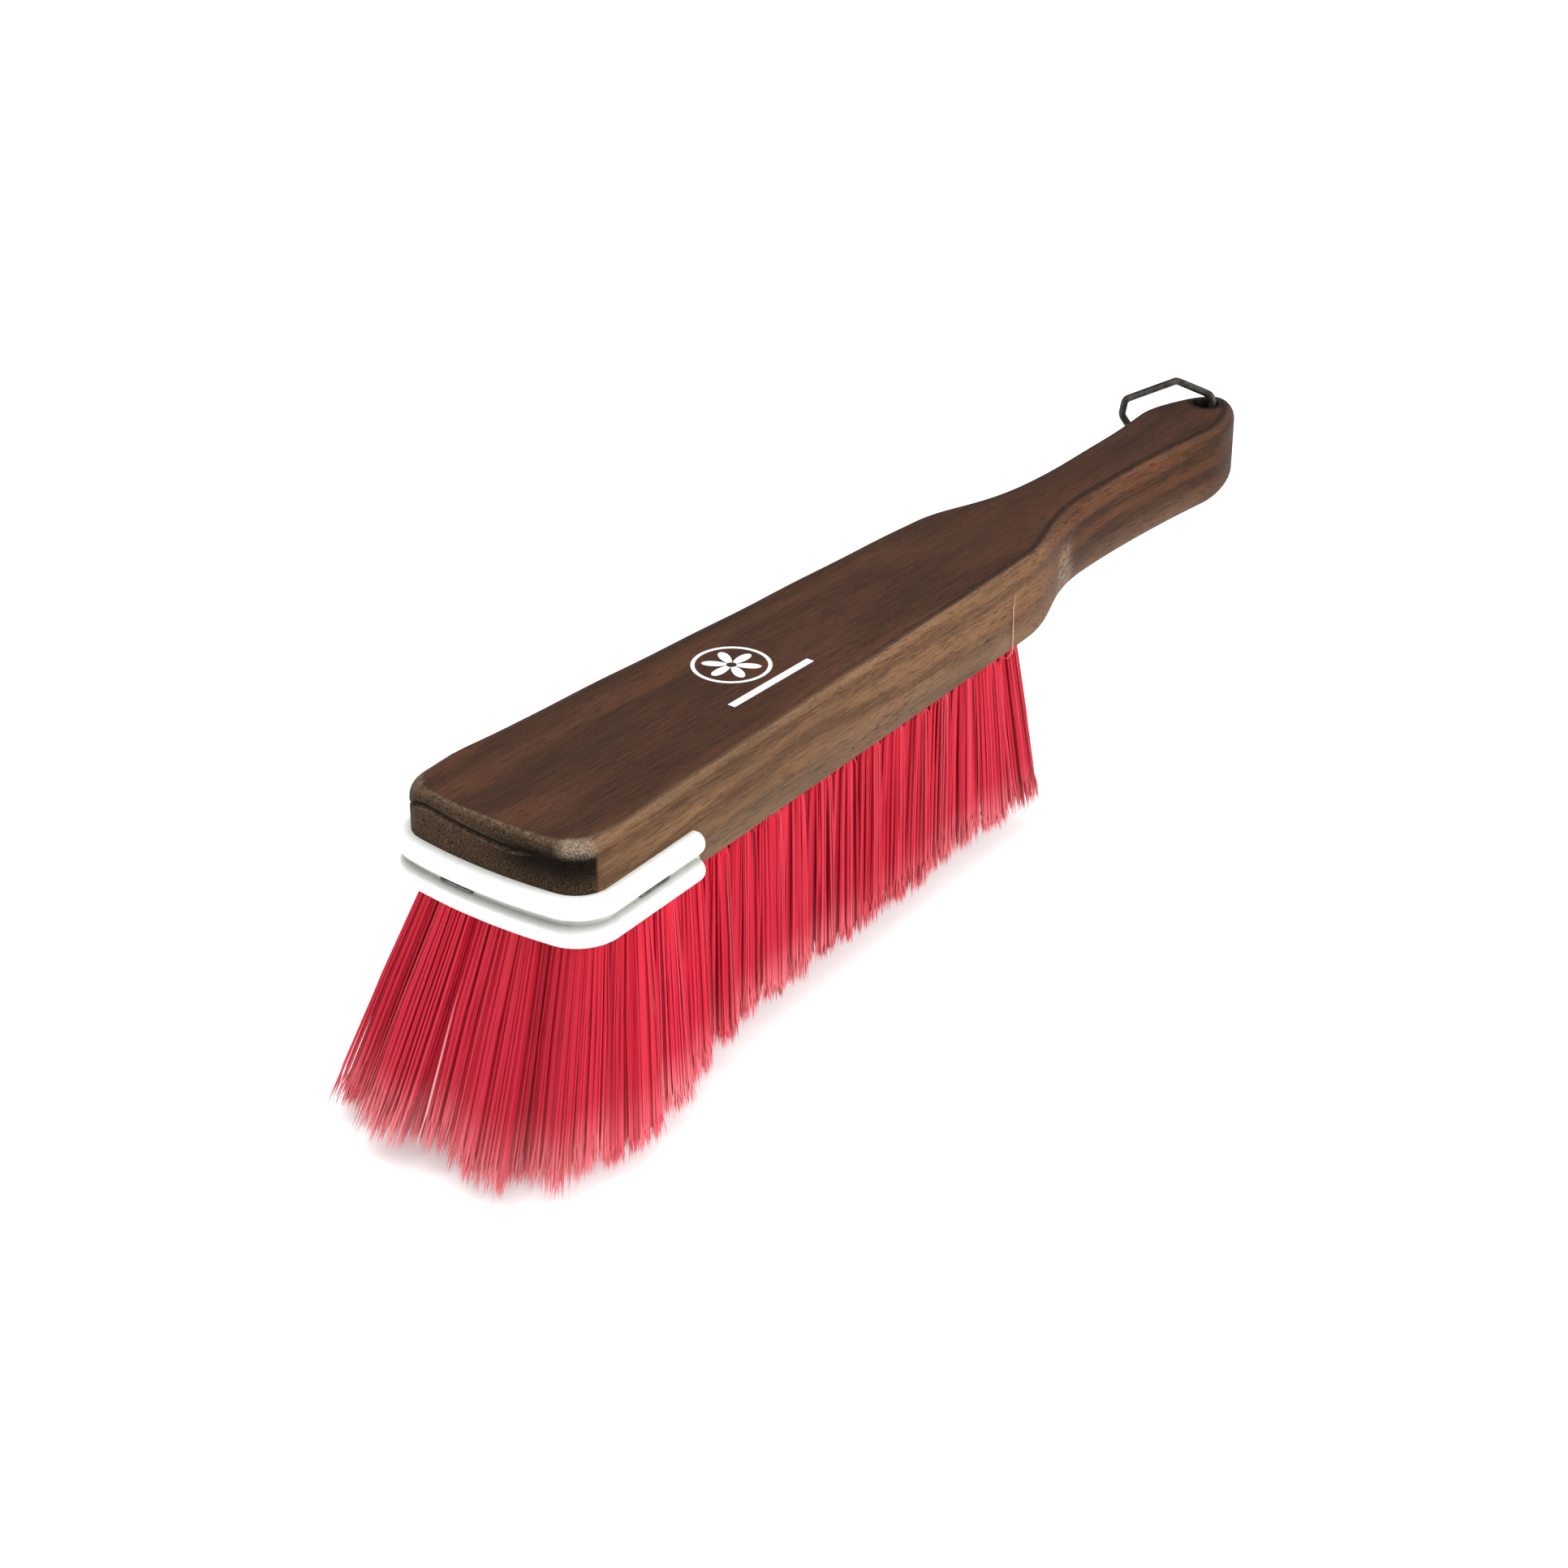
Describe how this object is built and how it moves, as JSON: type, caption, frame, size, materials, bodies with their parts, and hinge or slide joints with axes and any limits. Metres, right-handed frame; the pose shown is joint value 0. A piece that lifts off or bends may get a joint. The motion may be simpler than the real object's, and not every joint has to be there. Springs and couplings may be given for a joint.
{
  "type": "hand brush",
  "caption": "Wooden hand brush with a flat back and shaped handle, plastic bumper round the nose, flared bristle tufts and a swinging wire hanging loop.",
  "frame": {"origin": "middle of the head's flat back, on the brush's centre line", "axes": "+Z out of the flat back, away from the bristles; +X along the brush towards the handle; +Y to the right seen from the handle"},
  "size_m": [0.3528, 0.0742, 0.0883],
  "materials": {
    "stained_wood": "dark stained, open grain, satin",
    "bumper_plastic": "white, smooth gloss",
    "bristle": "red translucent filament with flagged paler tips",
    "staple_steel": "bright flat staple wire",
    "loop_wire": "dark oxidised steel wire",
    "anchor_steel": "galvanised flat wire"
  },
  "bodies": {
    "brush": {"wood_block": "stained_wood", "bumper_strip": "bumper_plastic", "bumper_staples": "staple_steel", "tufts_outer_left": "bristle", "tufts_inner_left": "bristle", "tufts_centre": "bristle", "tufts_inner_right": "bristle", "tufts_outer_right": "bristle", "anchors_outer_left": "anchor_steel", "anchors_inner_left": "anchor_steel", "anchors_centre": "anchor_steel", "anchors_inner_right": "anchor_steel", "anchors_outer_right": "anchor_steel"},
    "hanging_loop": {"hanging_loop": "loop_wire"}
  },
  "joints": [
    {"name": "loop_swing", "type": "hinge", "parent": "brush", "child": "hanging_loop", "pos_m": [0.221, 0, -0.0125], "axis": [0, 0, 1], "range_deg": [-205, 15]}
  ]
}
